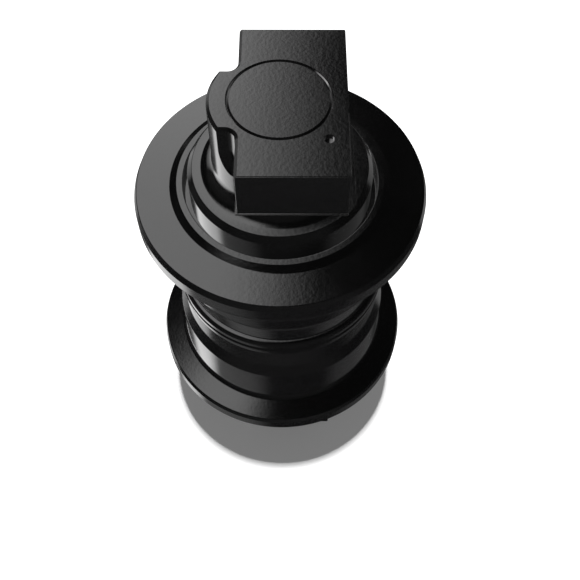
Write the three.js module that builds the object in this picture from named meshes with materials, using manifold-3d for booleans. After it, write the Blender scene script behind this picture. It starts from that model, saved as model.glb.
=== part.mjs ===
// Track roller (bottom roller) of a 20-tonne crawler excavator, in millimetres.
// The roller axis is +Z. The roller stands on the outer face of its lower collar, so the
// origin is at the bottom of the axis. The mounting pads of both collars face +X.
//
// Each end is drawn once, with heights measured outwards from the roller's mid-plane, and
// then used twice: as it is for the upper end, and turned over about X for the lower end.
import * as THREE from "three";
import { mergeVertices } from "three/addons/utils/BufferGeometryUtils.js";
import Module from "manifold-3d";

const wasm = await Module();
wasm.setup();

// ---------------------------------------------------------------- driving dimensions
const SIDES = 36; // facets round every turned piece
const PIN_SIDES = 24; // facets round a pin, the plug and its washer
const HOLE_SIDES = 16; // facets round a small drilled hole
const HEXAGON = 6;
const CURVE_STEPS = 3; // facets along each rounded stretch of an outline
const HALF_LENGTH = 169; // mid-plane to the outer face of a collar
const GAP = 0.3; // clearance kept between pieces that touch
const REACH = 200; // cutters run this far, past everything they cut

// Shaft
const SHAFT_RADIUS = 30;
const SHAFT_CHAMFER = 1.2;
const GALLERY_RADIUS = 6; // oil gallery, drilled from the lower end
const GALLERY_END = 8; // its blind end, just past the mid-plane
const CROSS_DRILL_RADIUS = 4; // feeds the oil chamber at the mid-plane

// Oil plug in the lower end of the shaft
const PLUG_SEAT_RADIUS = 12.5;
const PLUG_SEAT_DEPTH = 7.5;
const PLUG_HEAD_RADIUS = 11.5;
const PLUG_HEAD_THICKNESS = 4.9;
const PLUG_SHANK_RADIUS = 5.6;
const PLUG_SHANK_LENGTH = 13;
const PLUG_SOCKET_RADIUS = 5.2; // across the corners of its hexagon
const PLUG_SOCKET_DEPTH = 3.6;
const WASHER_INNER_RADIUS = 6.6;
const WASHER_THICKNESS = 1.5;

// Running surfaces of the shell
const FLANGE_RADIUS = 94;
const FLANGE_OUTER = 93.3; // height of the flange's outer face at its edge
const FLANGE_OUTER_RADIUS = 92.2; // radius of that edge
const RIM_OUTER = 88.8; // the rim is a cylinder from here
const RIM_INNER = 80; // to here
const FLANGE_INNER = 76.7; // height of the flange's inner face at its edge
const FLANGE_INNER_RADIUS = 92.8;
const FLANGE_ROOT_RADIUS = 81;
const FLANGE_ROOT = 72.8;
const TREAD_RADIUS = 76.4;
const TREAD_OUTER = 68.7;
const TREAD_INNER = 36.2;
const NECK_TOP_RADIUS = 72.2; // the neck is drafted towards the weld
const NECK_TOP = 26.6;
const NECK_WAIST_RADIUS = 69;
const WELD_LAND_RADIUS = 73.6; // collar of metal at the friction weld
const WELD_LAND = 4.4;
const WELD_SHOULDER = 7.7; // the land rounds off to this height
const WELD_SHOULDER_RADIUS = 70.4;
const WELD_ROUND_RADIUS = 72.9; // corner that the rounding is drawn from
const WELD_GROOVE = 1.7; // half the width of the groove turned at the joint
const WELD_GROOVE_RADIUS = 72.05;

// Inside of the shell
const LIP_RADIUS = 66.1;
const LIP_HEIGHT = 98;
const LIP_ROOT_RADIUS = 70.6;
const LIP_ROOT = 95.3;
const GUARD_BORE_RADIUS = 62; // counterbore round the collar's disc
const GUARD_BORE_FLOOR = 87;
const OIL_CHAMBER_RADIUS = 39.5;
const OIL_CHAMBER = 14;

// Bushes
const RUNNING_RADIUS = 30.5; // bore of a bush and of a collar
const BUSH_RADIUS = 35;
const BUSH_START = 16.5;
const BUSH_FLANGE_RADIUS = 45;
const BUSH_FLANGE = 66.3;
const BUSH_FACE = 71.4;
const FIT = 0.4; // radial clearance of a pressed bush or a driven pin

// Face seals: two steel rings meet at SEAL_FACE, each on a rubber toric ring
const SEAL_FACE = 86;
const SEAL_BORE_RADIUS = 43;
const SEAL_FACE_RADIUS = 51.3;
const SEAL_LIP = 2.6; // thickness of the ring's face flange
const SEAL_NECK_RADIUS = 48.9;
const SEAL_NECK = 4;
const SEAL_TAIL_RADIUS = 47.6;
const SEAL_LENGTH = 10.6;
const HOUSING_MOUTH_RADIUS = 54.5;
const HOUSING_ROOT_RADIUS = 53;
const HOUSING_DEPTH = 12.5; // from the seal face to the housing's floor
const TORIC_RADIUS = 50.95;
const TORIC_OFFSET = 7.5; // from the seal face to the toric's centre
const TORIC_HALF_WIDTH = 2.35;
const TORIC_HALF_LENGTH = 3.2;
const TORIC_SIDES = 8;

// Collar
const PAD_X = 39.3; // machined mounting face
const BAR_BACK_X = -24.2; // face that the bolt heads pull on
const BAR_HALF_WIDTH = 56.2;
const BAR_THICKNESS = 34;
const BAR_EDGE = 1.5;
const BOSS_RADIUS = 41.8;
const BOSS_EDGE = 1.8;
const BOSS_WALL_END = 124.5;
const BOSS_FOOT_RADIUS = 50.3;
const BOSS_FOOT_CORNER = 114; // height of the corner that the foot's curve is drawn from
const BOSS_SINK = 3; // how far the boss reaches into the disc
const DISC_TOP = 111.7;
const DISC_TOP_RADIUS = 55.2;
const DISC_RADIUS = 58.3;
const DISC_EDGE = 107;
const DISC_END = 88.6;
const HUB_RADIUS = 41;
const HUB_END = 71.9;
const RELIEF_WIDTH = 7; // step left in the disc where the cutter faces the pad
const RELIEF_DEPTH = 1;

// Fasteners of the collar
const BOLT_Y = 39;
const BOLT_RADIUS = 10;
const BOLT_HEIGHT = HALF_LENGTH - BAR_THICKNESS / 2;
const POCKET_RADIUS = 16; // clears the bolt head and its socket
const POCKET_CORNER = 6.4;
const PIN_RADIUS = 7;
const PIN_INNER_X = 12;
const PIN_OUTER_X = 37.8;
const SMALL_HOLE_RADIUS = 2.9;
const SMALL_HOLE_X = 27.7;
const SMALL_HOLE_Y = -29.7;
const SMALL_HOLE_DEPTH = 3;

// O-ring between shaft and collar
const O_RING_GROOVE_RADIUS = 34;
const O_RING_HEIGHT = 103;
const O_RING_GROOVE_WIDTH = 5;
const O_RING_RADIUS = 32.25;
const O_RING_SECTION = 1.45;

// ---------------------------------------------------------------- materials
const paint = { color: 0x17181a, roughness: 0.45, metalness: 0.3 };
const steel = { color: 0x8d9094, roughness: 0.35, metalness: 1 };
const bronze = { color: 0xa9743c, roughness: 0.4, metalness: 1 };
const copper = { color: 0xb4653a, roughness: 0.35, metalness: 1 };
const rubber = { color: 0x1b1b1c, roughness: 0.8, metalness: 0 };

// ---------------------------------------------------------------- shape helpers

// Turns a closed outline of (radius, height) points about Z.
function turned(points, sides = SIDES) {
  return new THREE.LatheGeometry(points, sides).rotateX(Math.PI / 2);
}

// A closed outline drawn with a THREE.Path, whose straight runs keep only their ends.
function outline(draw) {
  const path = new THREE.Path();
  draw(path);
  path.closePath();
  return path.getPoints(CURVE_STEPS);
}

// A round bar along X, from x0 to x1, centred on (y, z).
function barAlongX(radius, x0, x1, y, z, sides = SIDES) {
  return new THREE.CylinderGeometry(radius, radius, x1 - x0, sides)
    .rotateZ(-Math.PI / 2)
    .translate((x0 + x1) / 2, y, z);
}

// A round bar along Z, from z0 to z1, centred on (x, y).
function barAlongZ(radius, z0, z1, x = 0, y = 0, sides = SIDES) {
  return new THREE.CylinderGeometry(radius, radius, z1 - z0, sides)
    .rotateX(Math.PI / 2)
    .translate(x, y, (z0 + z1) / 2);
}

// A block between two corners.
function block(low, high) {
  const size = high.map((value, i) => value - low[i]);
  const centre = high.map((value, i) => (value + low[i]) / 2);
  return new THREE.BoxGeometry(...size).translate(...centre);
}

function toSolid(geometry) {
  const bare = geometry.clone();
  bare.deleteAttribute("normal");
  bare.deleteAttribute("uv");
  const merged = mergeVertices(bare);
  const mesh = new wasm.Mesh({
    numProp: 3,
    vertProperties: merged.attributes.position.array,
    triVerts: new Uint32Array(merged.index.array),
  });
  return new wasm.Manifold(mesh);
}

function toGeometry(solid) {
  const mesh = solid.getMesh();
  const position = new THREE.BufferAttribute(mesh.vertProperties, mesh.numProp);
  const geometry = new THREE.BufferGeometry();
  geometry.setAttribute("position", position);
  geometry.setIndex(new THREE.BufferAttribute(mesh.triVerts, 1));
  return geometry.toNonIndexed();
}

function joined(geometries) {
  const parts = geometries.map(toSolid);
  return toGeometry(parts.reduce((whole, part) => whole.add(part)));
}

function cut(geometry, cutters) {
  const parts = cutters.map(toSolid);
  return toGeometry(parts.reduce((rest, part) => rest.subtract(part), toSolid(geometry)));
}

// ---------------------------------------------------------------- shell

// One forged half of the shell: lip, flange, tread, drafted neck and half of the weld
// collar outside; guard bore, seal housing, bush seat and half of the oil chamber inside.
function shellHalf() {
  const housingFloor = SEAL_FACE - HOUSING_DEPTH;
  const seatRadius = BUSH_FLANGE_RADIUS + FIT;
  const seatFloor = BUSH_FLANGE - GAP;
  const boreRadius = BUSH_RADIUS + FIT;
  const boreEnd = BUSH_START - GAP;
  const points = outline((path) => {
    path.moveTo(GUARD_BORE_RADIUS, LIP_HEIGHT);
    path.lineTo(GUARD_BORE_RADIUS, GUARD_BORE_FLOOR);
    path.lineTo(HOUSING_MOUTH_RADIUS, GUARD_BORE_FLOOR);
    path.lineTo(HOUSING_ROOT_RADIUS, housingFloor);
    path.lineTo(seatRadius, housingFloor);
    path.lineTo(seatRadius, seatFloor);
    path.lineTo(boreRadius, seatFloor);
    path.lineTo(boreRadius, boreEnd);
    path.lineTo(OIL_CHAMBER_RADIUS, OIL_CHAMBER);
    path.lineTo(OIL_CHAMBER_RADIUS, GAP / 2);
    path.lineTo(WELD_GROOVE_RADIUS, GAP / 2);
    path.lineTo(WELD_LAND_RADIUS, WELD_GROOVE);
    path.lineTo(WELD_LAND_RADIUS, WELD_LAND);
    path.quadraticCurveTo(
      WELD_ROUND_RADIUS, WELD_SHOULDER, WELD_SHOULDER_RADIUS, WELD_SHOULDER,
    );
    path.lineTo(NECK_WAIST_RADIUS, WELD_SHOULDER);
    path.lineTo(NECK_TOP_RADIUS, NECK_TOP);
    path.lineTo(TREAD_RADIUS, TREAD_INNER);
    path.lineTo(TREAD_RADIUS, TREAD_OUTER);
    path.quadraticCurveTo(TREAD_RADIUS, FLANGE_ROOT, FLANGE_ROOT_RADIUS, FLANGE_ROOT);
    path.lineTo(FLANGE_INNER_RADIUS, FLANGE_INNER);
    path.lineTo(FLANGE_RADIUS, RIM_INNER);
    path.lineTo(FLANGE_RADIUS, RIM_OUTER);
    path.lineTo(FLANGE_OUTER_RADIUS, FLANGE_OUTER);
    path.lineTo(LIP_ROOT_RADIUS, LIP_ROOT);
    path.lineTo(LIP_RADIUS, LIP_HEIGHT);
  });
  return turned(points);
}

// ---------------------------------------------------------------- collar

// Disc that guards the seal, with the seal housing and the hub that carries the thrust.
function collarDisc() {
  const grooveLow = O_RING_HEIGHT - O_RING_GROOVE_WIDTH / 2;
  const grooveHigh = O_RING_HEIGHT + O_RING_GROOVE_WIDTH / 2;
  const housingFloor = SEAL_FACE + HOUSING_DEPTH;
  return turned(
    outline((path) => {
      path.moveTo(RUNNING_RADIUS, DISC_TOP);
      path.lineTo(RUNNING_RADIUS, grooveHigh);
      path.lineTo(O_RING_GROOVE_RADIUS, grooveHigh);
      path.lineTo(O_RING_GROOVE_RADIUS, grooveLow);
      path.lineTo(RUNNING_RADIUS, grooveLow);
      path.lineTo(RUNNING_RADIUS, HUB_END);
      path.lineTo(HUB_RADIUS, HUB_END);
      path.lineTo(HUB_RADIUS, housingFloor);
      path.lineTo(HOUSING_ROOT_RADIUS, housingFloor);
      path.lineTo(HOUSING_MOUTH_RADIUS, DISC_END);
      path.lineTo(DISC_RADIUS, DISC_END);
      path.lineTo(DISC_RADIUS, DISC_EDGE);
      path.lineTo(DISC_TOP_RADIUS, DISC_TOP);
    }),
  );
}

// Round boss above the disc. Its foot sinks a little way into the disc to join it.
function collarBoss() {
  const foot = DISC_TOP - BOSS_SINK;
  return turned(
    outline((path) => {
      path.moveTo(0, foot);
      path.lineTo(BOSS_FOOT_RADIUS, foot);
      path.lineTo(BOSS_FOOT_RADIUS, DISC_TOP);
      path.quadraticCurveTo(BOSS_RADIUS, BOSS_FOOT_CORNER, BOSS_RADIUS, BOSS_WALL_END);
      path.lineTo(BOSS_RADIUS, HALF_LENGTH - BOSS_EDGE);
      path.lineTo(BOSS_RADIUS - BOSS_EDGE, HALF_LENGTH);
      path.lineTo(0, HALF_LENGTH);
    }),
  );
}

// Cross bar whose two ears take the mounting bolts.
function collarBar() {
  const underside = HALF_LENGTH - BAR_THICKNESS;
  const section = new THREE.Shape([
    new THREE.Vector2(BAR_BACK_X, underside),
    new THREE.Vector2(PAD_X, underside),
    new THREE.Vector2(PAD_X, HALF_LENGTH),
    new THREE.Vector2(BAR_BACK_X + BAR_EDGE, HALF_LENGTH),
    new THREE.Vector2(BAR_BACK_X, HALF_LENGTH - BAR_EDGE),
  ]);
  const length = 2 * BAR_HALF_WIDTH;
  return new THREE.ExtrudeGeometry(section, { depth: length, bevelEnabled: false })
    .rotateX(Math.PI / 2)
    .translate(0, BAR_HALF_WIDTH, 0);
}

// Cutter for the pocket beside the boss: a round-cornered milling path that starts round
// the bolt axis and leaves through the outer face. It points along -X from the bar.
function pocketCutter(side) {
  const corner = new THREE.Path();
  corner.moveTo(POCKET_RADIUS, -REACH);
  corner.absarc(
    POCKET_RADIUS - POCKET_CORNER,
    BAR_BACK_X - POCKET_CORNER,
    POCKET_CORNER,
    0,
    Math.PI / 2,
  );
  const edge = corner.getPoints(CURVE_STEPS);
  const axisEnds = [new THREE.Vector2(0, BAR_BACK_X), new THREE.Vector2(0, -REACH)];
  const round = turned([...edge, ...axisEnds, edge[0]])
    .rotateY(Math.PI / 2)
    .translate(0, side * BOLT_Y, BOLT_HEIGHT);
  const mirrored = edge.map((point) => new THREE.Vector2(point.y, -point.x));
  const across = edge.map((point) => new THREE.Vector2(point.y, point.x)).reverse();
  const slot = new THREE.Shape([...mirrored, ...across]);
  const straight = new THREE.ExtrudeGeometry(slot, { depth: REACH, bevelEnabled: false });
  straight.translate(0, side * BOLT_Y, BOLT_HEIGHT);
  return [round, straight];
}

function collar() {
  const beyondPad = block([PAD_X, -REACH, 0], [REACH, REACH, REACH]);
  const pockets = [-1, 1].flatMap(pocketCutter);
  const boss = cut(collarBoss(), [beyondPad, ...pockets]);
  const bore = barAlongZ(RUNNING_RADIUS, 0, REACH);
  const reliefFloor = DISC_TOP - RELIEF_DEPTH;
  const relief = block([PAD_X, -REACH, reliefFloor], [PAD_X + RELIEF_WIDTH, REACH, REACH]);
  const boltHoles = [-BOLT_Y, BOLT_Y].map((y) =>
    barAlongX(BOLT_RADIUS, -REACH, REACH, y, BOLT_HEIGHT),
  );
  const pinHole = barAlongX(PIN_RADIUS + FIT, 0, REACH, 0, BOLT_HEIGHT);
  const smallHoleFloor = HALF_LENGTH - SMALL_HOLE_DEPTH;
  const smallHole = barAlongZ(
    SMALL_HOLE_RADIUS, smallHoleFloor, REACH, SMALL_HOLE_X, SMALL_HOLE_Y, HOLE_SIDES,
  );
  const body = joined([collarDisc(), boss, collarBar()]);
  return cut(body, [bore, relief, ...boltHoles, pinHole, smallHole]);
}

// ---------------------------------------------------------------- bushes and seals

// Flanged bush: a steel back with a bronze lining, turned in one piece.
function bush() {
  const points = outline((path) => {
    path.moveTo(RUNNING_RADIUS, BUSH_FACE);
    path.lineTo(RUNNING_RADIUS, BUSH_START);
    path.lineTo(BUSH_RADIUS, BUSH_START);
    path.lineTo(BUSH_RADIUS, BUSH_FLANGE);
    path.lineTo(BUSH_FLANGE_RADIUS, BUSH_FLANGE);
    path.lineTo(BUSH_FLANGE_RADIUS, BUSH_FACE);
  });
  return turned(points);
}

// Steel ring of the face seal. side is 1 for the ring in the collar and -1 for the ring
// in the shell: the two are mirror images in the seal face.
function sealRing(side) {
  const at = (offset) => SEAL_FACE + side * offset;
  const points = outline((path) => {
    path.moveTo(SEAL_BORE_RADIUS, at(GAP / 2));
    path.lineTo(SEAL_FACE_RADIUS, at(GAP / 2));
    path.lineTo(SEAL_FACE_RADIUS, at(SEAL_LIP));
    path.lineTo(SEAL_NECK_RADIUS, at(SEAL_NECK));
    path.lineTo(SEAL_TAIL_RADIUS, at(SEAL_LENGTH));
    path.lineTo(SEAL_BORE_RADIUS, at(SEAL_LENGTH));
  });
  return turned(side > 0 ? points : points.reverse());
}

// Rubber ring with an oval section, squeezed between a seal ring and its housing.
function rubberRing(radius, height, halfWidth, halfLength) {
  const section = new THREE.EllipseCurve(radius, height, halfWidth, halfLength);
  return turned(section.getPoints(TORIC_SIDES));
}

function sealToric(side) {
  const height = SEAL_FACE + side * TORIC_OFFSET;
  return rubberRing(TORIC_RADIUS, height, TORIC_HALF_WIDTH, TORIC_HALF_LENGTH);
}

// ---------------------------------------------------------------- shaft, pins and plug

function shaft() {
  const end = HALF_LENGTH - SHAFT_CHAMFER;
  const seatFloor = HALF_LENGTH - PLUG_SEAT_DEPTH;
  const body = turned(
    outline((path) => {
      path.moveTo(0, -HALF_LENGTH);
      path.lineTo(SHAFT_RADIUS - SHAFT_CHAMFER, -HALF_LENGTH);
      path.lineTo(SHAFT_RADIUS, -end);
      path.lineTo(SHAFT_RADIUS, end);
      path.lineTo(SHAFT_RADIUS - SHAFT_CHAMFER, HALF_LENGTH);
      path.lineTo(0, HALF_LENGTH);
    }),
  );
  const pinHoles = [-BOLT_HEIGHT, BOLT_HEIGHT].map((z) =>
    barAlongX(PIN_RADIUS + FIT, PIN_INNER_X - FIT, REACH, 0, z),
  );
  return cut(body, [
    ...pinHoles,
    barAlongZ(PLUG_SEAT_RADIUS, -REACH, -seatFloor),
    barAlongZ(GALLERY_RADIUS, -REACH, GALLERY_END, 0, 0, HOLE_SIDES),
    barAlongX(CROSS_DRILL_RADIUS, -REACH, REACH, 0, 0, HOLE_SIDES),
  ]);
}

function lockPin() {
  return barAlongX(PIN_RADIUS, PIN_INNER_X, PIN_OUTER_X, 0, BOLT_HEIGHT, PIN_SIDES);
}

// The plug and its washer are drawn at the upper end and turned over with the lower end.
function washer() {
  const floor = HALF_LENGTH - PLUG_SEAT_DEPTH + GAP;
  const points = outline((path) => {
    path.moveTo(WASHER_INNER_RADIUS, floor + WASHER_THICKNESS);
    path.lineTo(WASHER_INNER_RADIUS, floor);
    path.lineTo(PLUG_HEAD_RADIUS, floor);
    path.lineTo(PLUG_HEAD_RADIUS, floor + WASHER_THICKNESS);
  });
  return turned(points, PIN_SIDES);
}

function oilPlug() {
  const headLow = HALF_LENGTH - PLUG_SEAT_DEPTH + WASHER_THICKNESS + 2 * GAP;
  const headHigh = headLow + PLUG_HEAD_THICKNESS;
  const shankLow = headLow - PLUG_SHANK_LENGTH;
  const socketLow = headHigh - PLUG_SOCKET_DEPTH;
  const head = barAlongZ(PLUG_HEAD_RADIUS, headLow, headHigh, 0, 0, PIN_SIDES);
  const shank = barAlongZ(PLUG_SHANK_RADIUS, shankLow, headHigh, 0, 0, PIN_SIDES);
  const socket = barAlongZ(PLUG_SOCKET_RADIUS, socketLow, REACH, 0, 0, HEXAGON);
  return cut(joined([head, shank]), [socket]);
}

// ---------------------------------------------------------------- assembly

function piece(name, geometry, look) {
  const mesh = new THREE.Mesh(geometry, new THREE.MeshStandardMaterial(look));
  mesh.name = name;
  return mesh;
}

// Everything that both ends have.
function endPieces(end) {
  const group = new THREE.Group();
  group.add(
    piece(`shell_half_${end}`, shellHalf(), paint),
    piece(`collar_${end}`, collar(), paint),
    piece(`lock_pin_${end}`, lockPin(), steel),
    piece(
      `shaft_o_ring_${end}`,
      rubberRing(O_RING_RADIUS, O_RING_HEIGHT, O_RING_SECTION, O_RING_SECTION),
      rubber,
    ),
    piece(`bush_${end}`, bush(), bronze),
    piece(`seal_ring_fixed_${end}`, sealRing(1), steel),
    piece(`seal_toric_fixed_${end}`, sealToric(1), rubber),
    piece(`seal_ring_turning_${end}`, sealRing(-1), steel),
    piece(`seal_toric_turning_${end}`, sealToric(-1), rubber),
  );
  return group;
}

const upperEnd = endPieces("upper");
const lowerEnd = endPieces("lower");
lowerEnd.add(piece("oil_plug", oilPlug(), steel));
lowerEnd.add(piece("oil_plug_washer", washer(), copper));
lowerEnd.rotation.x = Math.PI;

const roller = new THREE.Group();
roller.add(upperEnd, lowerEnd, piece("shaft", shaft(), steel));
roller.position.z = HALF_LENGTH;

const part = new THREE.Group();
part.add(roller);

export default part;
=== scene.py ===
# Looks of the track roller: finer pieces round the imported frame, their materials, floor,
# light and camera. Dimensions are in millimetres. Heights are measured outwards from the
# roller's mid-plane, and the lower end is the upper end turned over about X.
import math

import bmesh
import bpy
from mathutils import Matrix, Vector


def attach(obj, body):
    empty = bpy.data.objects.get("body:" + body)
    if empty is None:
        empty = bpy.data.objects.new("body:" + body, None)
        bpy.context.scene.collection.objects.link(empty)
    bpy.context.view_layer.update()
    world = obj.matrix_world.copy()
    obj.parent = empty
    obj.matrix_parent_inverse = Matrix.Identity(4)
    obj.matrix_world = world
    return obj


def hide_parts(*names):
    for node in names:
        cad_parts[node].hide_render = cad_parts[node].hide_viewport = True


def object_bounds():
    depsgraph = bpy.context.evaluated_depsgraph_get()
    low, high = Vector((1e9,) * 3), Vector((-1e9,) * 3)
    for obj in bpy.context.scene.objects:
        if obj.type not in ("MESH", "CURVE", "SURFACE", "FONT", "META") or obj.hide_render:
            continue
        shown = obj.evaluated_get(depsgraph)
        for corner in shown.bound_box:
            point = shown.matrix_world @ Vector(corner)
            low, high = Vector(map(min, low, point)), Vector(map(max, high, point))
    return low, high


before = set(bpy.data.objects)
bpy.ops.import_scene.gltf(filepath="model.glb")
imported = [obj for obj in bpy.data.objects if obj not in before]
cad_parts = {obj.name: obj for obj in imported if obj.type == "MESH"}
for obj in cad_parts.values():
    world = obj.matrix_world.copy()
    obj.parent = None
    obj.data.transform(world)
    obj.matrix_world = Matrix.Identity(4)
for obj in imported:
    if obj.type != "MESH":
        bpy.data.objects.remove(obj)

cad_low, cad_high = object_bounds()

# ---------------------------------------------------------------- driving dimensions
MM = 0.001
MID = (cad_low.z + cad_high.z) / 2
HALF_LENGTH = (cad_high.z - cad_low.z) / 2 / MM
FLANGE_RADIUS = cad_high.x / MM
GAP = 0.3
REACH = 90.0  # cutters run this far past what they cut
SEGMENTS = 192  # facets round a turned piece
CORNER_STEPS = 4  # facets round a small rounded corner
SHELL_CORNER_STEPS = 6
CURVE_STEPS = 14
POCKET_STEPS = 16
SMALL_SEGMENTS = 96  # facets round a small turned piece
HOLE_SEGMENTS = 48
RUBBER_SIDES = 20  # facets round the section of a rubber ring
BEVEL_STEPS = 3

# Rounded corners, from the keenest edge to the widest fillet
KEEN = 0.2
CRISP = 0.3
BROKEN = 0.4
EASED = 0.5
SOFT = 0.6
LIP_CORNER = 0.7
ROUND = 0.8
FULL = 0.9
LIP_FILLET = 2.0
WELD_FILLET = 3.2
FLANGE_FILLET = 4.2
NECK_FILLET = 5.0

# Shaft
SHAFT_RADIUS = 30.0
SHAFT_CHAMFER = 1.2
GALLERY_RADIUS = 6.0
GALLERY_END = 8.0
CROSS_DRILL_RADIUS = 4.0

# Oil plug
PLUG_SEAT_RADIUS = 12.5
PLUG_SEAT_DEPTH = 7.5
PLUG_HEAD_RADIUS = 11.5
PLUG_HEAD_THICKNESS = 4.9
PLUG_SHANK_RADIUS = 5.6
PLUG_SHANK_LENGTH = 13.0
PLUG_SOCKET_RADIUS = 5.2
PLUG_SOCKET_DEPTH = 3.6
WASHER_INNER_RADIUS = 6.6
WASHER_THICKNESS = 1.5

# Shell
FLANGE_OUTER = 93.3
FLANGE_OUTER_RADIUS = 92.2
RIM_OUTER = 88.8
RIM_INNER = 80.0
FLANGE_INNER = 76.7
FLANGE_INNER_RADIUS = 92.8
FLANGE_ROOT = 71.6
TREAD_RADIUS = 76.4
TREAD_INNER = 36.2
NECK_TOP_RADIUS = 72.2
NECK_TOP = 26.6
NECK_WAIST_RADIUS = 69.0
WELD_LAND_RADIUS = 73.6
WELD_SHOULDER = 7.7
WELD_GROOVE = 1.7
WELD_GROOVE_RADIUS = 72.05
LIP_RADIUS = 66.1
LIP_ROOT_RADIUS = 70.6
LIP_HEIGHT = 98.0
LIP_ROOT = 95.3
GUARD_BORE_RADIUS = 62.0
GUARD_BORE_FLOOR = 87.0
OIL_CHAMBER_RADIUS = 39.5
OIL_CHAMBER = 14.0

# Bushes and seals
RUNNING_RADIUS = 30.5
BUSH_RADIUS = 35.0
BUSH_START = 16.5
BUSH_FLANGE_RADIUS = 45.0
BUSH_FLANGE = 66.3
BUSH_FACE = 71.4
FIT = 0.4
SEAL_FACE = 86.0
SEAL_BORE_RADIUS = 43.0
SEAL_FACE_RADIUS = 51.3
SEAL_LIP = 2.6
SEAL_NECK_RADIUS = 48.9
SEAL_NECK = 4.0
SEAL_TAIL_RADIUS = 47.6
SEAL_LENGTH = 10.6
HOUSING_MOUTH_RADIUS = 54.5
HOUSING_ROOT_RADIUS = 53.0
HOUSING_DEPTH = 12.5
TORIC_RADIUS = 50.95
TORIC_OFFSET = 7.5
TORIC_HALF_WIDTH = 2.35
TORIC_HALF_LENGTH = 3.2

# Collar
PAD_X = 39.3
BAR_BACK_X = -24.2
BAR_HALF_WIDTH = 56.2
BAR_THICKNESS = 34.0
BAR_LEDGE = 0.9  # forging flash left round the bar's inner edge
BAR_LEDGE_THICKNESS = 1.2
BOSS_RADIUS = 41.8
BOSS_EDGE = 1.8
BOSS_WALL_END = 124.5
BOSS_FOOT_RADIUS = 50.3
BOSS_FOOT_PULL = 114.0
DISC_TOP = 111.7
DISC_TOP_RADIUS = 55.2
DISC_RADIUS = 58.3
DISC_EDGE = 107.0
DISC_END = 88.6
HUB_RADIUS = 41.0
HUB_END = 71.9
RELIEF_WIDTH = 7.0
RELIEF_DEPTH = 1.0
BOLT_Y = 39.0
BOLT_RADIUS = 10.0
BOLT_HEIGHT = HALF_LENGTH - BAR_THICKNESS / 2
POCKET_RADIUS = 16.0
POCKET_CORNER = 6.4
PIN_RADIUS = 7.0
PIN_INNER_X = 12.0
PIN_OUTER_X = 37.8
SMALL_HOLE_RADIUS = 2.9
SMALL_HOLE_X = 27.7
SMALL_HOLE_Y = -29.7
SMALL_HOLE_DEPTH = 3.0
SMALL_HOLE_CONE = 1.0
O_RING_GROOVE_RADIUS = 34.0
O_RING_HEIGHT = 103.0
O_RING_GROOVE_WIDTH = 5.0
O_RING_RADIUS = 32.25
O_RING_SECTION = 1.45

# Chamfered mouths of the holes: how deep each reaches below the face, and how far its cutter
# runs past the face
HOLE_MOUTH = 0.3
MOUTH_PAST = 0.3
BOLT_MOUTH = 0.8
BOLT_MOUTH_PAST = 0.4
PIN_MOUTH = 0.5
CUTTER_PAST = 1.0  # other short cutters run this far past the face they open


# ---------------------------------------------------------------- mesh helpers
def finish_mesh(name, bm):
    """Closes, orients and smooths a mesh, and adds it to the scene."""
    bmesh.ops.remove_doubles(bm, verts=bm.verts, dist=1e-5)
    bmesh.ops.recalc_face_normals(bm, faces=bm.faces)
    mesh = bpy.data.meshes.new(name)
    bm.to_mesh(mesh)
    bm.free()
    piece = bpy.data.objects.new(name, mesh)
    bpy.context.scene.collection.objects.link(piece)
    return piece


def rounded(points, steps=CORNER_STEPS):
    """A closed outline whose corners (r, z, radius) are replaced by tangent arcs."""
    out = []
    count = len(points)
    for i, (r, z, radius) in enumerate(points):
        here = Vector((r, z))
        if not radius:
            out.append(here)
            continue
        before = (Vector(points[i - 1][:2]) - here).normalized()
        after = (Vector(points[(i + 1) % count][:2]) - here).normalized()
        half = before.angle(after) / 2
        start = here + before * (radius / math.tan(half))
        end = here + after * (radius / math.tan(half))
        centre = here + (before + after).normalized() * (radius / math.sin(half))
        for k in range(steps + 1):
            ray = (start - centre).lerp(end - centre, k / steps)
            out.append(centre + ray.normalized() * radius)
    return out


def curve(start, pull, end, steps=CURVE_STEPS):
    """Points of a quadratic curve, each as a sharp corner of an outline."""
    out = []
    for k in range(steps + 1):
        t = k / steps
        out.append(tuple(
            (1 - t) ** 2 * a + 2 * t * (1 - t) * b + t * t * c
            for a, b, c in zip(start, pull, end)
        ) + (0,))
    return out


def lathe_mesh(outline, segments=SEGMENTS):
    """Turns a closed outline of (r, z) about Z. Points on the axis become single ones."""
    bm = bmesh.new()
    rings = []
    for r, z in outline:
        if r < 1e-6:
            rings.append([bm.verts.new((0, 0, z))] * segments)
            continue
        ring = []
        for k in range(segments):
            angle = 2 * math.pi * k / segments
            ring.append(bm.verts.new((r * math.cos(angle), r * math.sin(angle), z)))
        rings.append(ring)
    for low, high in zip(rings, rings[1:] + rings[:1]):
        for k in range(segments):
            corners = [low[k], low[(k + 1) % segments], high[(k + 1) % segments], high[k]]
            unique = list(dict.fromkeys(corners))
            if len(unique) > 2:
                bm.faces.new(unique)
    return bm


def lathe(name, points, segments=SEGMENTS, steps=CORNER_STEPS):
    return finish_mesh(name, lathe_mesh(rounded(points, steps), segments))


def prism(name, polygon, low, high, spread=0.0):
    """A polygon of (x, y, outward x, outward y) drawn from low to high. spread moves the
    upper end's corners along their outward directions."""
    bm = bmesh.new()
    bottom = [bm.verts.new((x, y, low)) for x, y, _, _ in polygon]
    top = [bm.verts.new((x + u * spread, y + v * spread, high)) for x, y, u, v in polygon]
    bm.faces.new(bottom)
    bm.faces.new(top)
    for i in range(len(polygon)):
        j = (i + 1) % len(polygon)
        bm.faces.new((bottom[i], bottom[j], top[j], top[i]))
    return finish_mesh(name, bm)


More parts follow.
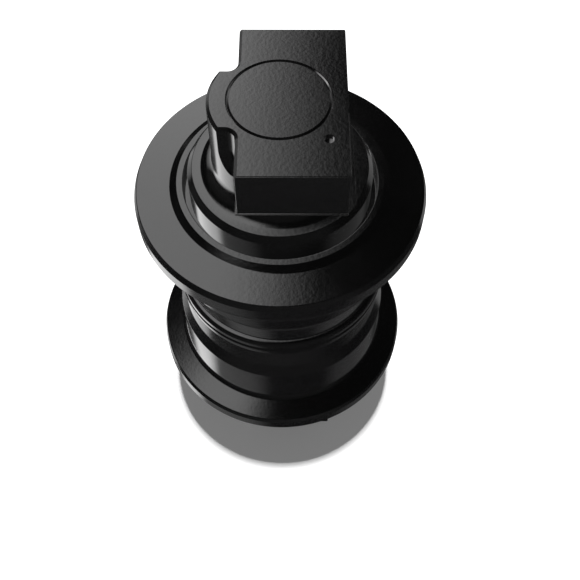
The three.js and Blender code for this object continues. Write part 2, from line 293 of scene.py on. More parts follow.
def block(name, low, high, edge=0.0):
    """A block between two corners, with its edges rounded by edge."""
    bm = bmesh.new()
    bmesh.ops.create_cube(bm, size=1)
    for vert in bm.verts:
        vert.co = Vector(high[i] if vert.co[i] > 0 else low[i] for i in range(3))
    if edge:
        bmesh.ops.bevel(
            bm, geom=bm.edges[:], offset=edge, segments=BEVEL_STEPS, affect="EDGES",
        )
    return finish_mesh(name, bm)


def hole_mouth(radius, face, depth, past):
    """The end of a hole cutter's outline: a chamfer through the face, and back to the axis."""
    return [(radius, face - depth), (radius + depth + past, face + past), (0, face + past)]


def bar_along_x(name, outline, y, z, segments=SMALL_SEGMENTS):
    """Turns an outline of (r, x) about the line through (y, z) along X."""
    piece = finish_mesh(name, lathe_mesh(outline, segments))
    turn = Matrix.Translation((0, y, z)) @ Matrix.Rotation(math.pi / 2, 4, "Y")
    piece.data.transform(turn)
    return piece


def combine(target, others, operation):
    """Joins or cuts target with each of the others, which are then removed."""
    for other in others:
        step = target.modifiers.new("step", "BOOLEAN")
        step.operation = operation
        step.solver = "EXACT"
        step.object = other
    bpy.context.view_layer.update()
    graph = bpy.context.evaluated_depsgraph_get()
    mesh = bpy.data.meshes.new_from_object(target.evaluated_get(graph))
    old = target.data
    target.modifiers.clear()
    target.data = mesh
    bpy.data.meshes.remove(old)
    for other in others:
        data = other.data
        bpy.data.objects.remove(other)
        bpy.data.meshes.remove(data)
    return target


# ---------------------------------------------------------------- shell and inner pieces
def shell_half(name):
    housing_floor = SEAL_FACE - HOUSING_DEPTH
    return lathe(name, [
        (GUARD_BORE_RADIUS, LIP_HEIGHT, EASED),
        (GUARD_BORE_RADIUS, GUARD_BORE_FLOOR, SOFT),
        (HOUSING_MOUTH_RADIUS, GUARD_BORE_FLOOR, BROKEN),
        (HOUSING_ROOT_RADIUS, housing_floor, ROUND),
        (BUSH_FLANGE_RADIUS + FIT, housing_floor, BROKEN),
        (BUSH_FLANGE_RADIUS + FIT, BUSH_FLANGE - GAP, CRISP),
        (BUSH_RADIUS + FIT, BUSH_FLANGE - GAP, BROKEN),
        (BUSH_RADIUS + FIT, BUSH_START - GAP, BROKEN),
        (OIL_CHAMBER_RADIUS, OIL_CHAMBER, SOFT),
        (OIL_CHAMBER_RADIUS, GAP / 2, 0),
        (WELD_GROOVE_RADIUS, GAP / 2, 0),
        (WELD_LAND_RADIUS, WELD_GROOVE, CRISP),
        (WELD_LAND_RADIUS, WELD_SHOULDER, WELD_FILLET),
        (NECK_WAIST_RADIUS, WELD_SHOULDER, SOFT),
        (NECK_TOP_RADIUS, NECK_TOP, NECK_FILLET),
        (TREAD_RADIUS, TREAD_INNER, FULL),
        (TREAD_RADIUS, FLANGE_ROOT, FLANGE_FILLET),
        (FLANGE_INNER_RADIUS, FLANGE_INNER, ROUND),
        (FLANGE_RADIUS, RIM_INNER, ROUND),
        (FLANGE_RADIUS, RIM_OUTER, ROUND),
        (FLANGE_OUTER_RADIUS, FLANGE_OUTER, LIP_CORNER),
        (LIP_ROOT_RADIUS, LIP_ROOT, LIP_FILLET),
        (LIP_RADIUS, LIP_HEIGHT, BROKEN),
    ], steps=SHELL_CORNER_STEPS)


def bush(name):
    return lathe(name, [
        (RUNNING_RADIUS, BUSH_FACE, SOFT),
        (RUNNING_RADIUS, BUSH_START, SOFT),
        (BUSH_RADIUS, BUSH_START, SOFT),
        (BUSH_RADIUS, BUSH_FLANGE, CRISP),
        (BUSH_FLANGE_RADIUS, BUSH_FLANGE, BROKEN),
        (BUSH_FLANGE_RADIUS, BUSH_FACE, SOFT),
    ])


def seal_ring(name, side):
    return lathe(name, [
        (SEAL_BORE_RADIUS, SEAL_FACE + side * GAP / 2, CRISP),
        (SEAL_FACE_RADIUS, SEAL_FACE + side * GAP / 2, KEEN),
        (SEAL_FACE_RADIUS, SEAL_FACE + side * SEAL_LIP, BROKEN),
        (SEAL_NECK_RADIUS, SEAL_FACE + side * SEAL_NECK, ROUND),
        (SEAL_TAIL_RADIUS, SEAL_FACE + side * SEAL_LENGTH, BROKEN),
        (SEAL_BORE_RADIUS, SEAL_FACE + side * SEAL_LENGTH, BROKEN),
    ])


def rubber_ring(name, radius, height, half_width, half_length, sides=RUBBER_SIDES):
    outline = []
    for k in range(sides):
        angle = 2 * math.pi * k / sides
        outline.append(Vector((
            radius + half_width * math.cos(angle), height + half_length * math.sin(angle),
        )))
    return finish_mesh(name, lathe_mesh(outline))


def washer(name):
    seat = HALF_LENGTH - PLUG_SEAT_DEPTH + GAP
    return lathe(name, [
        (WASHER_INNER_RADIUS, seat, CRISP),
        (PLUG_HEAD_RADIUS, seat, BROKEN),
        (PLUG_HEAD_RADIUS, seat + WASHER_THICKNESS, BROKEN),
        (WASHER_INNER_RADIUS, seat + WASHER_THICKNESS, CRISP),
    ], segments=SMALL_SEGMENTS)


def oil_plug(name):
    low = HALF_LENGTH - PLUG_SEAT_DEPTH + WASHER_THICKNESS + 2 * GAP
    high = low + PLUG_HEAD_THICKNESS
    tip = low - PLUG_SHANK_LENGTH
    plug = lathe(name, [
        (0, tip, 0),
        (PLUG_SHANK_RADIUS, tip, ROUND),
        (PLUG_SHANK_RADIUS, low, KEEN),
        (PLUG_HEAD_RADIUS, low, BROKEN),
        (PLUG_HEAD_RADIUS, high, FULL),
        (0, high, 0),
    ], segments=SMALL_SEGMENTS)
    hexagon = []
    for k in range(6):
        angle = math.pi / 3 * k
        hexagon.append((
            PLUG_SOCKET_RADIUS * math.cos(angle), PLUG_SOCKET_RADIUS * math.sin(angle), 0, 0,
        ))
    socket = prism("socket", hexagon, high - PLUG_SOCKET_DEPTH, high + CUTTER_PAST)
    return combine(plug, [socket], "DIFFERENCE")


def lock_pin(name):
    outline = rounded([
        (0, PIN_INNER_X, 0),
        (PIN_RADIUS, PIN_INNER_X, ROUND),
        (PIN_RADIUS, PIN_OUTER_X, ROUND),
        (0, PIN_OUTER_X, 0),
    ])
    return bar_along_x(name, outline, 0, BOLT_HEIGHT)


def shaft(name):
    edge = HALF_LENGTH - SHAFT_CHAMFER
    face = SHAFT_RADIUS - SHAFT_CHAMFER
    body = lathe(name, [
        (0, -HALF_LENGTH, 0),
        (face, -HALF_LENGTH, KEEN),
        (SHAFT_RADIUS, -edge, KEEN),
        (SHAFT_RADIUS, edge, KEEN),
        (face, HALF_LENGTH, KEEN),
        (0, HALF_LENGTH, 0),
    ])
    pin_bore = [(0, PIN_INNER_X - FIT), (PIN_RADIUS + FIT, PIN_INNER_X - FIT),
                (PIN_RADIUS + FIT, REACH), (0, REACH)]
    drill = [(0, -REACH), (CROSS_DRILL_RADIUS, -REACH), (CROSS_DRILL_RADIUS, REACH), (0, REACH)]
    seat = PLUG_SEAT_DEPTH - HALF_LENGTH
    gallery = [(0, -2 * HALF_LENGTH), (PLUG_SEAT_RADIUS, -2 * HALF_LENGTH),
               (PLUG_SEAT_RADIUS, seat), (GALLERY_RADIUS, seat),
               (GALLERY_RADIUS, GALLERY_END), (0, GALLERY_END + GALLERY_RADIUS / 2)]
    cutters = [
        bar_along_x("hole", pin_bore, 0, BOLT_HEIGHT),
        bar_along_x("hole", pin_bore, 0, -BOLT_HEIGHT),
        bar_along_x("hole", drill, 0, 0),
        finish_mesh("hole", lathe_mesh(gallery, SMALL_SEGMENTS)),
    ]
    return combine(body, cutters, "DIFFERENCE")


# ---------------------------------------------------------------- collar
def pocket_cutters(side):
    """The milled pocket beside the boss on one side of the collar: its rounded end about the
    bolt's line, the open path above it, and the chamfer round that path's upper edge."""
    corner_y = BOLT_Y - POCKET_RADIUS + POCKET_CORNER
    corner_x = BAR_BACK_X - POCKET_CORNER
    far = -REACH
    reach_y = BOLT_Y + POCKET_RADIUS
    round_outline = [(0, BAR_BACK_X), (0, far), (POCKET_RADIUS, far)]
    path = [(far, BOLT_Y - POCKET_RADIUS, 0, -1)]
    for k in range(POCKET_STEPS + 1):
        angle = math.pi / 2 * k / POCKET_STEPS
        u, v = math.sin(angle), -math.cos(angle)
        path.append((corner_x + POCKET_CORNER * u, corner_y + POCKET_CORNER * v, u, v))
        round_outline.append((
            POCKET_RADIUS - POCKET_CORNER + POCKET_CORNER * math.cos(angle),
            corner_x + POCKET_CORNER * math.sin(angle),
        ))
    path.append((BAR_BACK_X, reach_y + POCKET_RADIUS, 1, 0))
    path.append((far, reach_y + POCKET_RADIUS, 0, 0))
    turned_path = [(x, y * side, u, v * side) for x, y, u, v in path]
    top = HALF_LENGTH + BOSS_EDGE
    return [
        bar_along_x("pocket", [Vector(p) for p in round_outline], side * BOLT_Y, BOLT_HEIGHT),
        prism("pocket", turned_path, BOLT_HEIGHT, top),
        prism("pocket", turned_path, HALF_LENGTH - BOSS_EDGE, top, spread=2 * BOSS_EDGE),
    ]


def collar(name):
    low_groove = O_RING_HEIGHT - O_RING_GROOVE_WIDTH / 2
    high_groove = O_RING_HEIGHT + O_RING_GROOVE_WIDTH / 2
    housing_floor = SEAL_FACE + HOUSING_DEPTH
    foot = curve(
        (BOSS_FOOT_RADIUS, DISC_TOP), (BOSS_RADIUS, BOSS_FOOT_PULL),
        (BOSS_RADIUS, BOSS_WALL_END),
    )
    body = lathe(name, [
        (0, HUB_END, 0),
        (HUB_RADIUS, HUB_END, EASED),
        (HUB_RADIUS, housing_floor, EASED),
        (HOUSING_ROOT_RADIUS, housing_floor, ROUND),
        (HOUSING_MOUTH_RADIUS, DISC_END, BROKEN),
        (DISC_RADIUS, DISC_END, EASED),
        (DISC_RADIUS, DISC_EDGE, SOFT),
        (DISC_TOP_RADIUS, DISC_TOP, SOFT),
        *foot,
        (BOSS_RADIUS, HALF_LENGTH - BOSS_EDGE, BROKEN),
        (BOSS_RADIUS - BOSS_EDGE, HALF_LENGTH, BROKEN),
        (0, HALF_LENGTH, 0),
    ])
    underside = HALF_LENGTH - BAR_THICKNESS
    bar = block(
        "bar", (BAR_BACK_X, -BAR_HALF_WIDTH, underside), (PAD_X, BAR_HALF_WIDTH, HALF_LENGTH),
        edge=EASED,
    )
    ledge = block(
        "ledge", (BAR_BACK_X - BAR_LEDGE, -BAR_HALF_WIDTH - BAR_LEDGE, underside),
        (PAD_X, BAR_HALF_WIDTH + BAR_LEDGE, underside + BAR_LEDGE_THICKNESS), edge=CRISP,
    )
    beyond = block("cut", (PAD_X, -REACH, DISC_TOP), (REACH, REACH, HALF_LENGTH + CUTTER_PAST))
    body = combine(body, [beyond], "DIFFERENCE")
    body = combine(body, [bar, ledge], "UNION")
    bore = [
        (0, HUB_END - CUTTER_PAST), (RUNNING_RADIUS, HUB_END - CUTTER_PAST),
        (RUNNING_RADIUS, low_groove), (O_RING_GROOVE_RADIUS, low_groove),
        (O_RING_GROOVE_RADIUS, high_groove), (RUNNING_RADIUS, high_groove),
        *hole_mouth(RUNNING_RADIUS, HALF_LENGTH, HOLE_MOUTH, MOUTH_PAST),
    ]
    cutters = [finish_mesh("bore", lathe_mesh([Vector(p) for p in bore]))]
    cutters.append(block(
        "relief", (PAD_X, -REACH, DISC_TOP - RELIEF_DEPTH),
        (PAD_X + RELIEF_WIDTH, REACH, DISC_TOP + CUTTER_PAST),
    ))
    bolt = [(0, -REACH), (BOLT_RADIUS, -REACH),
            *hole_mouth(BOLT_RADIUS, PAD_X, BOLT_MOUTH, BOLT_MOUTH_PAST)]
    for side in (-1, 1):
        cutters += pocket_cutters(side)
        cutters.append(bar_along_x(
            "bolt", [Vector(p) for p in bolt], side * BOLT_Y, BOLT_HEIGHT,
        ))
    pin_radius = PIN_RADIUS + FIT
    pin = [(0, 0), (pin_radius, 0), *hole_mouth(pin_radius, PAD_X, PIN_MOUTH, MOUTH_PAST)]
    cutters.append(bar_along_x("pin", [Vector(p) for p in pin], 0, BOLT_HEIGHT))
    small_floor = HALF_LENGTH - SMALL_HOLE_DEPTH
    small = [(0, small_floor - SMALL_HOLE_CONE), (SMALL_HOLE_RADIUS, small_floor),
             *hole_mouth(SMALL_HOLE_RADIUS, HALF_LENGTH, HOLE_MOUTH, MOUTH_PAST)]
    hole = finish_mesh("hole", lathe_mesh([Vector(p) for p in small], HOLE_SEGMENTS))
    hole.data.transform(Matrix.Translation((SMALL_HOLE_X, SMALL_HOLE_Y, 0)))
    cutters.append(hole)
    return combine(body, cutters, "DIFFERENCE")


# ---------------------------------------------------------------- materials
# Colours are linear, and bump distances are in metres.
PAINT_DARK = (0.0026, 0.0027, 0.0030)
PAINT_LIGHT = (0.0048, 0.0049, 0.0051)
PAINT_DUST = (0.009, 0.0088, 0.0082)
PAINT_WORN = (0.020, 0.019, 0.018)
PAINT_GLOSS = 0.14  # roughness of the paint before drift, specks and wear
RUBBER_SKIN = (0.012, 0.012, 0.012)
RUBBER_BLOOM = (0.035, 0.034, 0.032)
PAINT_EDGE_WIDTH = 0.0006
METAL_EDGE_WIDTH = 0.0005
BROAD_SCALE = 14.0  # slow drift over the whole piece
COARSE_SCALE = 150.0  # forging grain
PEEL_SCALE = 420.0  # orange peel
FINE_SCALE = 900.0  # specks and the finest grain
STAIN_SCALE = 60.0
BLOOM_SCALE = 90.0
RUBBER_SCALE = 1400.0
GRAIN_DISTANCE = 0.0006
PEEL_DISTANCE = 0.00022
TOOL_MARK_DISTANCE = 0.00005
METAL_GRAIN_DISTANCE = 0.00004
RUBBER_GRAIN_DISTANCE = 0.00005


def new_material(name):
    material = bpy.data.materials.new(name)
    material.use_nodes = True
    nodes, links = material.node_tree.nodes, material.node_tree.links
    return material, nodes, links, nodes["Principled BSDF"]


def noise(nodes, links, vector, scale, detail, roughness):
    node = nodes.new("ShaderNodeTexNoise")
    node.inputs["Scale"].default_value = scale
    node.inputs["Detail"].default_value = detail
    node.inputs["Roughness"].default_value = roughness
    links.new(vector, node.inputs["Vector"])
    return node.outputs["Fac"]


def remap(nodes, links, value, low, high, from_low=0.0, from_high=1.0):
    """Eases value from the range from_low to from_high into the range low to high."""
    node = nodes.new("ShaderNodeMapRange")
    node.interpolation_type = "SMOOTHSTEP"
    for key, number in (("From Min", from_low), ("From Max", from_high),
                        ("To Min", low), ("To Max", high)):
        node.inputs[key].default_value = number
    links.new(value, node.inputs["Value"])
    return node.outputs["Result"]


def math_node(nodes, links, operation, *values):
    node = nodes.new("ShaderNodeMath")
    node.operation = operation
    for socket, value in zip(node.inputs, values):
        if isinstance(value, (int, float)):
            socket.default_value = value
        else:
            links.new(value, socket)
    return node.outputs[0]


def mix_colour(nodes, links, factor, a, b):
    node = nodes.new("ShaderNodeMix")
    node.data_type = "RGBA"
    links.new(factor, node.inputs["Factor"])
    for socket, value in ((node.inputs[6], a), (node.inputs[7], b)):
        if isinstance(value, tuple):
            socket.default_value = (*value, 1)
        else:
            links.new(value, socket)
    return node.outputs[2]


def edge_mask(nodes, links, radius):
    """1 on edges and corners, 0 on flat ground."""
    bevel = nodes.new("ShaderNodeBevel")
    bevel.samples = 4
    bevel.inputs["Radius"].default_value = radius
    geometry = nodes.new("ShaderNodeNewGeometry")
    dot = nodes.new("ShaderNodeVectorMath")
    dot.operation = "DOT_PRODUCT"
    links.new(bevel.outputs["Normal"], dot.inputs[0])
    links.new(geometry.outputs["Normal"], dot.inputs[1])
    return remap(
        nodes, links, dot.outputs["Value"], low=1.0, high=0.0, from_low=0.80, from_high=0.985,
    )


def flatness(nodes, links):
    """1 on faces square to the roller's axis, and a little above 0 on turned walls."""
    geometry = nodes.new("ShaderNodeNewGeometry")
    axes = nodes.new("ShaderNodeSeparateXYZ")
    links.new(geometry.outputs["Normal"], axes.inputs[0])
    along = math_node(nodes, links, "ABSOLUTE", axes.outputs["Z"])
    return remap(nodes, links, along, low=0.12, high=1.0, from_low=0.45, from_high=0.9)


def bump(nodes, links, height, strength, distance, normal=None):
    node = nodes.new("ShaderNodeBump")
    if isinstance(strength, float):
        node.inputs["Strength"].default_value = strength
    else:
        links.new(strength, node.inputs["Strength"])
    node.inputs["Distance"].default_value = distance
    links.new(height, node.inputs["Height"])
    if normal is not None:
        links.new(normal, node.inputs["Normal"])
    return node.outputs["Normal"]


def black_paint(name, grain, peel):
    """Satin black paint: forging grain and orange peel of the given strengths, broad drift,
    dust specks, and worn, browner edges."""
    material, nodes, links, shader = new_material(name)
    where = nodes.new("ShaderNodeTexCoord").outputs["Object"]
    broad = noise(nodes, links, where, BROAD_SCALE, detail=4.0, roughness=0.6)
    fine = noise(nodes, links, where, PEEL_SCALE, detail=3.0, roughness=0.55)
    coarse = noise(nodes, links, where, COARSE_SCALE, detail=2.0, roughness=0.5)
    specks = noise(nodes, links, where, FINE_SCALE, detail=2.0, roughness=0.7)
    worn = math_node(nodes, links, "MULTIPLY", edge_mask(nodes, links, PAINT_EDGE_WIDTH),
                     remap(nodes, links, coarse, 0.0, 1.0, 0.35, 0.75))
    body = mix_colour(nodes, links, remap(nodes, links, broad, 0.0, 1.0, 0.35, 0.65),
                      PAINT_DARK, PAINT_LIGHT)
    dusty = mix_colour(nodes, links, remap(nodes, links, specks, 0.0, 0.6, 0.66, 0.78),
                       body, PAINT_DUST)
    links.new(mix_colour(nodes, links, worn, dusty, PAINT_WORN), shader.inputs["Base Color"])
    drift = remap(nodes, links, broad, PAINT_GLOSS - 0.03, PAINT_GLOSS + 0.04, 0.3, 0.7)
    satin = math_node(nodes, links, "ADD", drift,
                      remap(nodes, links, specks, -0.01, 0.03, 0.4, 0.8))
    rubbed = math_node(nodes, links, "MULTIPLY", worn, 0.12)
    links.new(math_node(nodes, links, "ADD", satin, rubbed), shader.inputs["Roughness"])
    rough_faces = flatness(nodes, links)
    grain_strength = math_node(nodes, links, "MULTIPLY", rough_faces, grain)
    peel_strength = math_node(nodes, links, "MULTIPLY", rough_faces, peel)
    relief = bump(nodes, links, coarse, grain_strength, GRAIN_DISTANCE)
    relief = bump(nodes, links, fine, peel_strength, PEEL_DISTANCE, relief)
    links.new(relief, shader.inputs["Normal"])
    shader.inputs["Specular IOR Level"].default_value = 0.5
    return material


def machined(name, dark, light, rough, spacing, axis="Z"):
    """Turned or ground metal: fine tool marks round axis, stains and brighter edges."""
    material, nodes, links, shader = new_material(name)
    where = nodes.new("ShaderNodeTexCoord").outputs["Object"]
    marks = nodes.new("ShaderNodeTexWave")
    marks.wave_type = "RINGS"
    marks.rings_direction = axis
    marks.inputs["Scale"].default_value = spacing
    marks.inputs["Distortion"].default_value = 1.2
    marks.inputs["Detail"].default_value = 2.0
    links.new(where, marks.inputs["Vector"])
    stain = noise(nodes, links, where, STAIN_SCALE, detail=5.0, roughness=0.6)
    grain = noise(nodes, links, where, FINE_SCALE, detail=2.0, roughness=0.5)
    edge = edge_mask(nodes, links, METAL_EDGE_WIDTH)
    ground = mix_colour(nodes, links, remap(nodes, links, stain, 0.0, 1.0, 0.3, 0.7),
                        dark, light)
    bright = tuple(min(1.0, channel * 1.25) for channel in light)
    links.new(mix_colour(nodes, links, edge, ground, bright), shader.inputs["Base Color"])
    shader.inputs["Metallic"].default_value = 1.0
    links.new(math_node(nodes, links, "ADD",
                        remap(nodes, links, stain, rough, rough + 0.14, 0.3, 0.75),
                        remap(nodes, links, marks.outputs["Fac"], 0.0, 0.05)),
              shader.inputs["Roughness"])
    relief = bump(nodes, links, marks.outputs["Fac"], 0.25, TOOL_MARK_DISTANCE)
    relief = bump(nodes, links, grain, 0.2, METAL_GRAIN_DISTANCE, relief)
    links.new(relief, shader.inputs["Normal"])
    return material


def rubber(name):
    """Moulded rubber: matt skin, grey bloom and fine grain."""
    material, nodes, links, shader = new_material(name)
    where = nodes.new("ShaderNodeTexCoord").outputs["Object"]
    bloom = noise(nodes, links, where, BLOOM_SCALE, detail=4.0, roughness=0.6)
    grain = noise(nodes, links, where, RUBBER_SCALE, detail=2.0, roughness=0.5)
    links.new(mix_colour(nodes, links, remap(nodes, links, bloom, 0.0, 1.0, 0.35, 0.75),
                         RUBBER_SKIN, RUBBER_BLOOM),
              shader.inputs["Base Color"])
    links.new(remap(nodes, links, bloom, 0.55, 0.75, 0.3, 0.8), shader.inputs["Roughness"])
    relief = bump(nodes, links, grain, 0.3, RUBBER_GRAIN_DISTANCE)
    links.new(relief, shader.inputs["Normal"])
    return material


materials = {
    "shell_paint": black_paint("shell_paint", grain=0.03, peel=0.26),
    "collar_paint": black_paint("collar_paint", grain=0.03, peel=0.25),
    "shaft_steel": black_paint("shaft_steel", grain=0.02, peel=0.24),
    "pin_steel": machined(
        "pin_steel", dark=(0.30, 0.31, 0.33), light=(0.44, 0.45, 0.47), rough=0.26,
        spacing=900.0, axis="X",
    ),
    "plug_steel": machined(
        "plug_steel", dark=(0.20, 0.20, 0.22), light=(0.38, 0.38, 0.40), rough=0.36,
        spacing=700.0,
    ),
    "washer_copper": machined(
        "washer_copper", dark=(0.55, 0.25, 0.14), light=(0.74, 0.39, 0.23), rough=0.30,
        spacing=800.0,
    ),
    "bush_bronze": machined(
        "bush_bronze", dark=(0.48, 0.29, 0.12), light=(0.64, 0.42, 0.19), rough=0.30,
        spacing=700.0,
    ),
    "seal_iron": machined(
        "seal_iron", dark=(0.32, 0.32, 0.33), light=(0.46, 0.46, 0.47), rough=0.22,
        spacing=1200.0,
    ),
    "o_ring_rubber": rubber("o_ring_rubber"),
    "toric_rubber": rubber("toric_rubber"),
}


# ---------------------------------------------------------------- pieces
SHARP_ANGLE = math.radians(28)
NORMAL_WEIGHT = 60


def place(piece, node, body, slot, lower=False):
    """Moves a piece drawn at the mid-plane to its place, and ties it to its CAD node."""
    if lower:
        piece.data.transform(Matrix.Rotation(math.pi, 4, "X"))
    piece.data.transform(Matrix.Translation((0, 0, MID)) @ Matrix.Scale(MM, 4))
    mesh = piece.data
    mesh.materials.clear()
    mesh.materials.append(materials[slot])
    for polygon in mesh.polygons:
        polygon.use_smooth = True
    mesh.set_sharp_from_angle(angle=SHARP_ANGLE)
    normals = piece.modifiers.new("normals", "WEIGHTED_NORMAL")
    normals.keep_sharp = True
    normals.weight = NORMAL_WEIGHT
    piece.visible_glossy = False
    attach(piece, body)
    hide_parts(node)


for end, lower in (("upper", False), ("lower", True)):
    place(shell_half(f"fine_shell_half_{end}"), f"shell_half_{end}", "roller_shell",
          "shell_paint", lower)
    place(collar(f"fine_collar_{end}"), f"collar_{end}", "carrier", "collar_paint", lower)
    place(lock_pin(f"fine_lock_pin_{end}"), f"lock_pin_{end}", "carrier", "pin_steel", lower)
    place(
        rubber_ring(f"fine_shaft_o_ring_{end}", O_RING_RADIUS, O_RING_HEIGHT, O_RING_SECTION,
                    O_RING_SECTION),
        f"shaft_o_ring_{end}", "carrier", "o_ring_rubber", lower,
    )
    place(bush(f"fine_bush_{end}"), f"bush_{end}", "roller_shell", "bush_bronze", lower)
    for kind, side, body in (("fixed", 1, "carrier"), ("turning", -1, "roller_shell")):
        place(seal_ring(f"fine_seal_ring_{kind}_{end}", side), f"seal_ring_{kind}_{end}",
              body, "seal_iron", lower)
        place(
            rubber_ring(f"fine_seal_toric_{kind}_{end}", TORIC_RADIUS,
                        SEAL_FACE + side * TORIC_OFFSET, TORIC_HALF_WIDTH, TORIC_HALF_LENGTH),
            f"seal_toric_{kind}_{end}", body, "toric_rubber", lower,
        )
place(shaft("fine_shaft"), "shaft", "carrier", "shaft_steel")
place(oil_plug("fine_oil_plug"), "oil_plug", "carrier", "plug_steel", True)
place(washer("fine_oil_plug_washer"), "oil_plug_washer", "carrier", "washer_copper", True)

# ---------------------------------------------------------------- camera
FRAME_PIXELS = 580
SENSOR = 36.0
FOCAL_PIXELS = 858.0
CAMERA_DISTANCE = 342.9  # from the roller's axis
CAMERA_HEIGHT = 528.8  # above the mid-plane
CAMERA_AZIMUTH = math.radians(0.92)
CAMERA_PITCH = math.radians(58.96)
CAMERA_YAW = 0.0187
CAMERA_ROLL = 0.0031

camera_data = bpy.data.cameras.new("camera")
camera_data.sensor_width = SENSOR
camera_data.lens = FOCAL_PIXELS / FRAME_PIXELS * SENSOR
camera_data.clip_start = 0.05
camera_data.clip_end = 50
camera = bpy.data.objects.new("camera", camera_data)
around = Matrix.Rotation(CAMERA_AZIMUTH, 3, "Z")
camera.location = around @ Vector((0, -CAMERA_DISTANCE * MM, MID + CAMERA_HEIGHT * MM))
forward = around @ Vector((
    math.sin(CAMERA_YAW) * math.cos(CAMERA_PITCH),
    math.cos(CAMERA_YAW) * math.cos(CAMERA_PITCH),
    -math.sin(CAMERA_PITCH),
))
right = around @ Vector((math.cos(CAMERA_YAW), -math.sin(CAMERA_YAW), 0))
upward = right.cross(forward)
level = Matrix((right, upward, -forward)).transposed()
camera.rotation_euler = (level @ Matrix.Rotation(CAMERA_ROLL, 3, "Z")).to_euler()
bpy.context.scene.collection.objects.link(camera)
bpy.context.scene.camera = camera

# ---------------------------------------------------------------- floor and light
FLOOR_SIZE = 6  # metres from the middle to each side
FLOOR_CELLS = 8
FLOOR_DROP = 0.0005  # metres below the roller's lower end
FLOOR_GREY = 0.8
FLOOR_GLOW = 0.13
SUN_STRENGTH = 5.5
SUN_WIDTH = math.radians(3.0)
SUN_DIRECTION = Vector((0, 0.015, 1))
STUDIO_DIFFUSE = 0.12  # even light that diffuse surfaces see
STUDIO_BASE = 0.03  # even light that gloss sees from all round
STUDIO_HAZE = 0.02  # more of it from everywhere but steeply below
LOWEST_SOFTBOX = 0.02  # keeps the softbox's plane off the horizon
SOFTBOX_SLANT = 0.28
SLANT_END = 0.35

floor_bm = bmesh.new()
bmesh.ops.create_grid(
    floor_bm, x_segments=FLOOR_CELLS, y_segments=FLOOR_CELLS, size=FLOOR_SIZE,
)
floor = finish_mesh("floor", floor_bm)
floor.location.z = cad_low.z - FLOOR_DROP
floor_material, floor_nodes, floor_links, floor_shader = new_material("pale_floor")
floor_shader.inputs["Base Color"].default_value = (FLOOR_GREY, FLOOR_GREY, FLOOR_GREY, 1)
floor_shader.inputs["Roughness"].default_value = 1.0
floor_shader.inputs["Specular IOR Level"].default_value = 0.0
floor_shader.inputs["Emission Color"].default_value = (1, 1, 1, 1)
floor_shader.inputs["Emission Strength"].default_value = FLOOR_GLOW
# Seen from below, the floor is clear, so that the lower end can be looked at.
floor_clear = floor_nodes.new("ShaderNodeBsdfTransparent")
floor_mix = floor_nodes.new("ShaderNodeMixShader")
floor_side = floor_nodes.new("ShaderNodeNewGeometry")
floor_links.new(floor_side.outputs["Backfacing"], floor_mix.inputs[0])
floor_links.new(floor_shader.outputs[0], floor_mix.inputs[1])
floor_links.new(floor_clear.outputs[0], floor_mix.inputs[2])
floor_links.new(floor_mix.outputs[0], floor_nodes["Material Output"].inputs[0])
floor.data.materials.append(floor_material)
floor.visible_glossy = False

# A soft overhead light that reaches only the floor, and leaves the object's shadow on it.
floor_only = bpy.data.collections.new("floor_only")
floor_only.objects.link(floor)
overhead_data = bpy.data.lights.new("overhead", "SUN")
overhead_data.energy = SUN_STRENGTH
overhead_data.angle = SUN_WIDTH
overhead = bpy.data.objects.new("overhead", overhead_data)
overhead.rotation_euler = SUN_DIRECTION.to_track_quat("Z", "Y").to_euler()
bpy.context.scene.collection.objects.link(overhead)
overhead.light_linking.receiver_collection = floor_only

world = bpy.data.worlds.new("studio")
bpy.context.scene.world = world
world.use_nodes = True
tree = world.node_tree
tree.nodes.clear()
direction = tree.nodes.new("ShaderNodeTexCoord").outputs["Generated"]
axes = tree.nodes.new("ShaderNodeSeparateXYZ")
tree.links.new(direction, axes.inputs[0])


def world_math(operation, *values):
    return math_node(tree.nodes, tree.links, operation, *values)


def soft_step(value, dark, lit):
    """0 where value is at dark and 1 where it is at lit, with a soft edge between."""
    return remap(tree.nodes, tree.links, value, 0.0, 1.0, dark, lit)


def lobe(x, y, z, dark, lit, strength):
    """A round soft light towards (x, y, z). dark and lit are cosines from its centre."""
    dot = tree.nodes.new("ShaderNodeVectorMath")
    dot.operation = "DOT_PRODUCT"
    tree.links.new(direction, dot.inputs[0])
    dot.inputs[1].default_value = Vector((x, y, z)).normalized()
    return world_math("MULTIPLY", soft_step(dot.outputs["Value"], dark, lit), strength)


def strip(x, y, strength):
    """A soft upright strip of light towards (x, y), from well below the horizon to just
    above it."""
    level_part = world_math("SQRT", world_math("SUBTRACT", 1.0, world_math(
        "MULTIPLY", axes.outputs["Z"], axes.outputs["Z"])))
    ahead = world_math("ADD", world_math("MULTIPLY", axes.outputs["X"], x),
                       world_math("MULTIPLY", axes.outputs["Y"], y))
    around = world_math("DIVIDE", ahead, level_part)
    lit = world_math("MULTIPLY", soft_step(around, dark=0.955, lit=0.985), strength)
    lit = world_math("MULTIPLY", lit, soft_step(axes.outputs["Z"], dark=-0.8, lit=-0.6))
    return world_math("MULTIPLY", lit, soft_step(axes.outputs["Z"], dark=0.08, lit=-0.12))


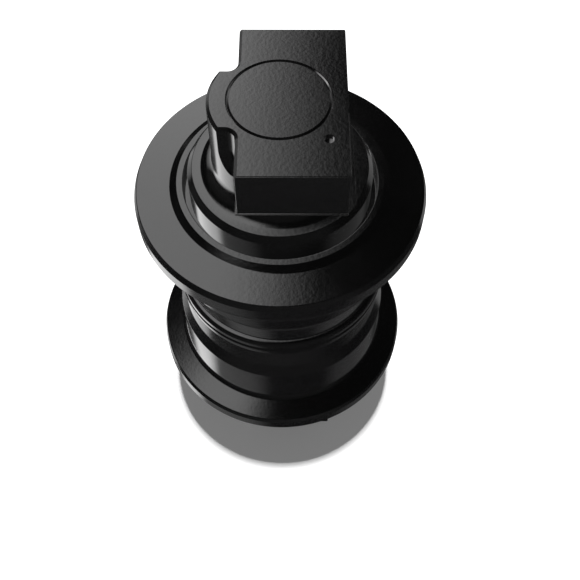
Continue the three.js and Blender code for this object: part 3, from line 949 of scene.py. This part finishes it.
def overhead_softbox(strength):
    """The big softbox, level overhead. across and along are positions in its plane, one unit
    above the object. Its right-hand edge slants with along, up to a limit."""
    height = world_math("MAXIMUM", axes.outputs["Z"], LOWEST_SOFTBOX)
    across = world_math("DIVIDE", axes.outputs["X"], height)
    along = world_math("DIVIDE", axes.outputs["Y"], height)
    slant = world_math("MULTIPLY", world_math("MINIMUM", along, SLANT_END), -SOFTBOX_SLANT)
    edge = world_math("ADD", across, slant)
    lit = world_math("MULTIPLY", soft_step(edge, dark=0.0, lit=-0.25), strength)
    lit = world_math("MULTIPLY", lit, soft_step(across, dark=-0.88, lit=-0.5))
    lit = world_math("MULTIPLY", lit, soft_step(along, dark=-0.55, lit=-0.1))
    return world_math("MULTIPLY", lit, soft_step(axes.outputs["Z"], dark=0.05, lit=0.3))


def total(values):
    whole = values[0]
    for value in values[1:]:
        whole = world_math("ADD", whole, value)
    return whole


level_light = total([
    overhead_softbox(strength=4.0),
    # Low on the left, and a wider, weaker glow beside it
    lobe(-0.60, 0.20, -0.775, dark=0.948, lit=0.982, strength=2.6),
    lobe(-0.38, -0.20, -0.90, dark=0.93, lit=0.995, strength=0.32),
    # Low on the right, in front, and level on the left
    lobe(0.512, 0.10, -0.853, dark=0.91, lit=0.98, strength=0.10),
    lobe(0.0, -1.0, 0.0, dark=0.4, lit=0.75, strength=0.08),
    lobe(-1.0, 0.0, 0.1, dark=0.80, lit=0.95, strength=0.10),
    # Behind, on both sides
    strip(0.77, 0.64, strength=0.55),
    strip(-0.70, 0.71, strength=0.8),
    world_math("MULTIPLY", soft_step(axes.outputs["Z"], dark=-1.0, lit=-0.6), STUDIO_HAZE),
    STUDIO_BASE,
])
path = tree.nodes.new("ShaderNodeLightPath")
studio = tree.nodes.new("ShaderNodeBackground")
backdrop = tree.nodes.new("ShaderNodeBackground")
backdrop.inputs["Strength"].default_value = 1.0
backdrop.inputs["Color"].default_value = (1, 1, 1, 1)
# Diffuse surfaces see an even, weak studio, so that only the gloss follows the lights.
not_diffuse = world_math("SUBTRACT", 1.0, path.outputs["Is Diffuse Ray"])
level_light = world_math("ADD", world_math("MULTIPLY", level_light, not_diffuse),
                         world_math("MULTIPLY", path.outputs["Is Diffuse Ray"],
                                    STUDIO_DIFFUSE))
tree.links.new(level_light, studio.inputs["Strength"])
mix = tree.nodes.new("ShaderNodeMixShader")
tree.links.new(path.outputs["Is Camera Ray"], mix.inputs[0])
tree.links.new(studio.outputs[0], mix.inputs[1])
tree.links.new(backdrop.outputs[0], mix.inputs[2])
output = tree.nodes.new("ShaderNodeOutputWorld")
tree.links.new(mix.outputs[0], output.inputs[0])
world.cycles.sampling_method = "NONE"
bpy.context.scene.view_settings.view_transform = "Standard"

bpy.context.view_layer.update()
